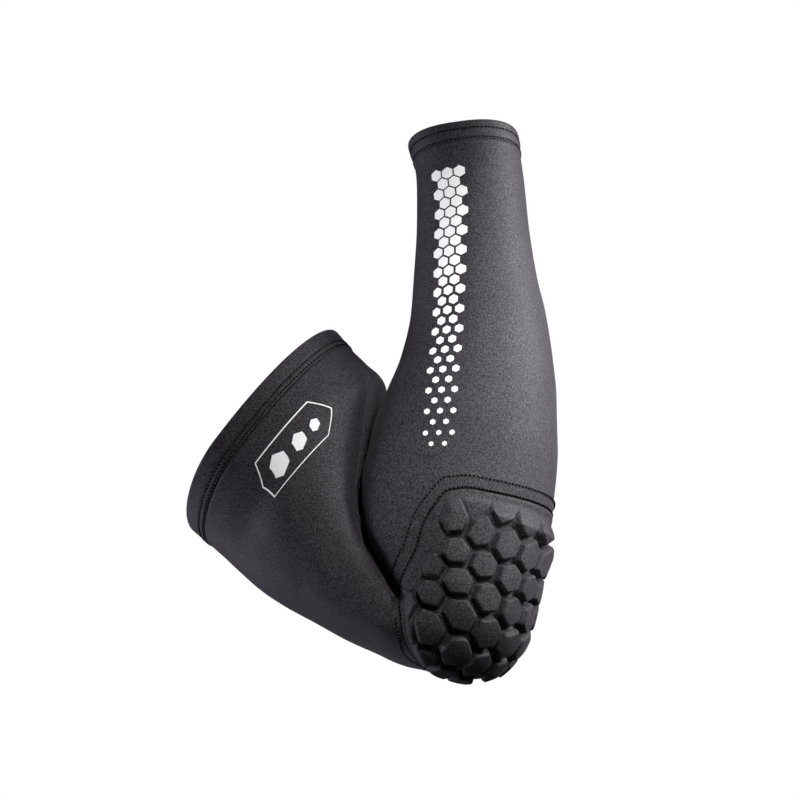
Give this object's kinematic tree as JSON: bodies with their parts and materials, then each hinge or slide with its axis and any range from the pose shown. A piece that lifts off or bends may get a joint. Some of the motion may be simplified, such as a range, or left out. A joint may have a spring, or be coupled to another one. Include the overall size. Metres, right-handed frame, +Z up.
{
  "type": "floorball elbow pad",
  "caption": "Stretch-knit arm sleeve held in its worn, bent form, with hemmed ends, a hexagon-celled foam pad wrapped round the elbow and a flat seam strip round the pad.",
  "frame": {"origin": "centre of the wearer's elbow inside the bend of the sleeve, midway between its two sides", "axes": "+Z up the forearm towards the wrist hem, -X towards the upper arm and its hem, +Y across the arm, from the side that the pad covers most to the other side"},
  "size_m": [0.181, 0.1022, 0.2814],
  "materials": {
    "sleeve_knit": "soft stretch knit, faintly lustrous",
    "hem_knit": "soft stretch knit, doubled",
    "pad_foam": "brushed knit laminated to moulded foam",
    "seam_band": "flat seam under close stitching"
  },
  "bodies": {
    "root": {"sleeve": "sleeve_knit", "wrist_hem": "hem_knit", "upper_hem": "hem_knit", "elbow_pad": "pad_foam", "pad_seam_band": "seam_band"}
  },
  "joints": []
}
